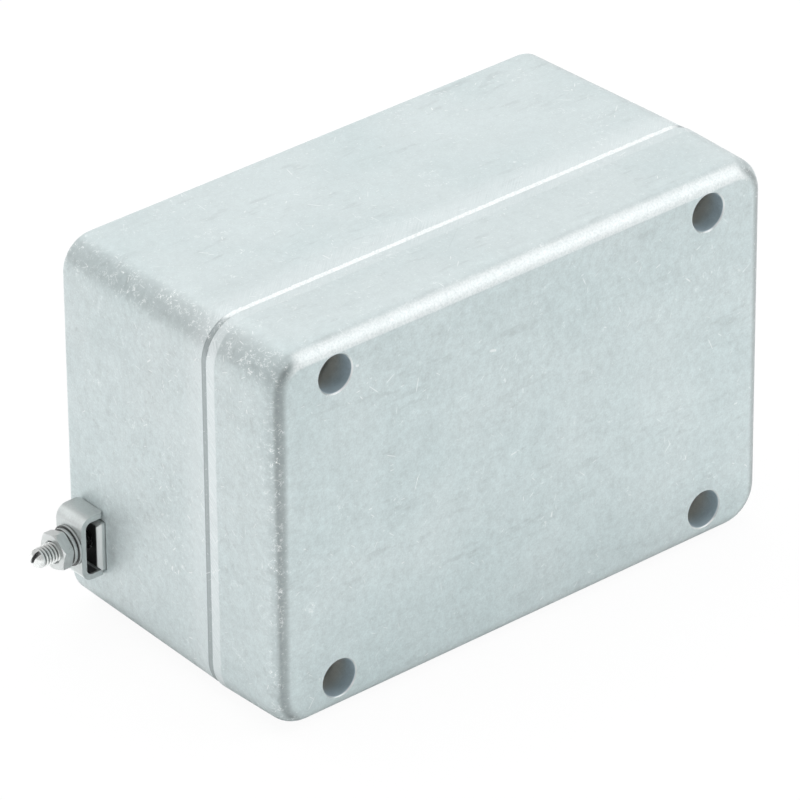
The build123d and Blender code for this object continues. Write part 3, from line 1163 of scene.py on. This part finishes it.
class ENCLOSURE_OT_screws(Operator):
    """Puts threaded, slotted screws in the place of the four plain ones"""

    bl_idname = "enclosure.screws"
    bl_label = "Thread the lid screws"

    def execute(self, context):
        look = context.scene.enclosure_hardware
        dull = plain_metal("screw_steel", look.dull, 1.0, 0.42, (1, 1, 1))
        for name, turn in zip(nodes_like("lid_screw_"), look.screw_turns):
            self.make_screw(look, name, math.radians(turn), dull)
        return {"FINISHED"}

    def make_screw(self, look, name, turn, material):
        """Screw with a thread, a plain waist and a slotted head, in the place of that node."""
        tip_bevel, head_round, overlap = 0.5 * MM, 0.35 * MM, 0.2 * MM
        low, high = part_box(name)
        middle = (low + high) / 2
        # Local Z runs from the thread's tip to the head
        place = Matrix(
            (
                (1, 0, 0, middle.x),
                (0, 0, -1, high.y),
                (0, 1, 0, middle.z),
                (0, 0, 0, 1),
            )
        )
        length = high.y - low.y
        head = length - look.head_height
        thread = bmesh.new()
        helix(thread, look, look.thread_length, look.thread_radius - tip_bevel)
        shank = bmesh.new()
        waist = [(look.thread_length - overlap, look.waist_radius), (head, look.waist_radius)]
        top = [(head, look.head_radius)] + rounded(length, look.head_radius, head_round)
        turned(shank, waist + top, look.around)
        end = slotted(
            mesh_data(shank, "shank"),
            look.screw_slot,
            look.screw_slot,
            1.5 * look.head_radius,
            turn,
            length,
        )
        parts = [mesh_data(thread, "thread"), end]
        rod = placed(parts, f"threaded_{name}", name, material, place)
        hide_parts(name)


def look_from(azimuth, elevation):
    """Unit vector from the object towards a viewer there."""
    flat = math.cos(elevation)
    return Vector((math.sin(azimuth) * flat, -math.cos(azimuth) * flat, math.sin(elevation)))


def lamp(name, azimuth, elevation, distance, size, power, gloss):
    """Broad lamp that faces the object, either for its light or, with gloss, its reflection."""
    data = bpy.data.lights.new(name, "AREA")
    data.shape = "RECTANGLE"
    data.size, data.size_y = size
    data.energy = power
    made = linked(name, data)
    back = look_from(math.radians(azimuth), math.radians(elevation))
    made.location = (base_low + lid_high) / 2 + back * distance
    made.rotation_mode = "QUATERNION"
    made.rotation_quaternion = (-back).to_track_quat("-Z", "Y")
    made.visible_glossy = gloss
    made.visible_diffuse = not gloss


# Azimuth and elevation in degrees, distance and size in metres
LAMPS = {
    "right": {"azimuth": 54, "elevation": 45, "distance": 1.0, "size": (0.55, 0.55), "gloss": False},
    "left": {"azimuth": -100, "elevation": 20, "distance": 1.0, "size": (1.6, 1.6), "gloss": False},
    "top": {"azimuth": 180, "elevation": 72, "distance": 1.2, "size": (1.3, 1.3), "gloss": False},
    "streak": {"azimuth": 38, "elevation": 25, "distance": 1.5, "size": (0.45, 1.0), "gloss": True},
}


def seen_white(start):
    """1 for what the camera sees straight or through glass."""
    camera = start.node("ShaderNodeLightPath", out="Is Camera Ray")
    return camera.larger(camera.also("Is Transmission Ray"))


class ENCLOSURE_OT_stage(Operator):
    """Sets the floor, the lamps, the room light and the camera"""

    bl_idname = "enclosure.stage"
    bl_label = "Set the stage"

    def execute(self, context):
        studio = context.scene.enclosure_studio
        self.make_floor(studio)
        self.make_room(context.scene, studio)
        for name, place in LAMPS.items():
            lamp(f"{name}_lamp", power=getattr(studio, name), **place)
        self.make_camera(context.scene, studio)
        context.scene.view_settings.view_transform = "Standard"
        return {"FINISHED"}

    def make_floor(self, studio):
        half = studio.floor_reach
        mesh = bpy.data.meshes.new("floor")
        corners = [(-half, -half), (half, -half), (half, half), (-half, half)]
        mesh.from_pydata([(x, y, cad_low.z) for x, y in corners], [], [(0, 1, 2, 3)])
        floor = linked("floor", mesh)
        paint = Surface("floor_paint", 0.0, 0.9)
        paint.set("Base Color", opaque(studio.floor))
        start = paint.start
        white = start.node("ShaderNodeEmission", None, {"Strength": 1.0})
        lit = Socket(start.tree, paint.shader.outputs[0])
        share = seen_white(start) * studio.floor_white
        both = start.node("ShaderNodeMixShader", None, {0: share, 1: lit, 2: white})
        start.feed(start.tree.nodes["Material Output"].inputs["Surface"], both)
        mesh.materials.append(paint.material)

    def make_room(self, scene, studio):
        world = bpy.data.worlds.new("studio_room")
        world.use_nodes = True
        scene.world = world
        start = Socket(world.node_tree)
        light = world.node_tree.nodes["Background"]
        start.feed(light.inputs["Color"], WHITE)
        start.feed(light.inputs["Strength"], studio.room + seen_white(start) * (1 - studio.room))

    def make_camera(self, scene, studio):
        data = bpy.data.cameras.new("camera")
        data.lens = studio.lens
        data.sensor_width = 36.0
        data.clip_end = 20.0
        camera = linked("camera", data)
        back = look_from(studio.azimuth, studio.elevation)
        upright = (-back).to_track_quat("-Z", "Y").to_matrix().to_4x4()
        camera.matrix_world = (
            Matrix.Translation(Vector(studio.target) + back * studio.distance)
            @ upright
            @ Matrix.Rotation(studio.roll, 4, "Z")
        )
        scene.camera = camera


STEPS = (
    "castings",
    "seals",
    "clamps",
    "stud",
    "screws",
    "stage",
)


class ENCLOSURE_PT_panel(Panel):
    """Lists the steps that dress the enclosure"""

    bl_idname = "ENCLOSURE_PT_panel"
    bl_label = "Die-cast enclosure"
    bl_space_type = "VIEW_3D"
    bl_region_type = "UI"
    bl_category = "Enclosure"

    def draw(self, context):
        for step in STEPS:
            self.layout.operator(f"enclosure.{step}")


CLASSES = (
    CastingSettings,
    HardwareSettings,
    StudioSettings,
    ENCLOSURE_OT_castings,
    ENCLOSURE_OT_seals,
    ENCLOSURE_OT_clamps,
    ENCLOSURE_OT_stud,
    ENCLOSURE_OT_screws,
    ENCLOSURE_OT_stage,
    ENCLOSURE_PT_panel,
)


def register():
    for cls in CLASSES:
        bpy.utils.register_class(cls)
    bpy.types.Scene.enclosure_castings = PointerProperty(type=CastingSettings)
    bpy.types.Scene.enclosure_hardware = PointerProperty(type=HardwareSettings)
    bpy.types.Scene.enclosure_studio = PointerProperty(type=StudioSettings)


def unregister():
    del bpy.types.Scene.enclosure_studio
    del bpy.types.Scene.enclosure_hardware
    del bpy.types.Scene.enclosure_castings
    for cls in reversed(CLASSES):
        bpy.utils.unregister_class(cls)


def main():
    register()
    for step in STEPS:
        getattr(bpy.ops.enclosure, step)()


if __name__ == "__main__":
    main()
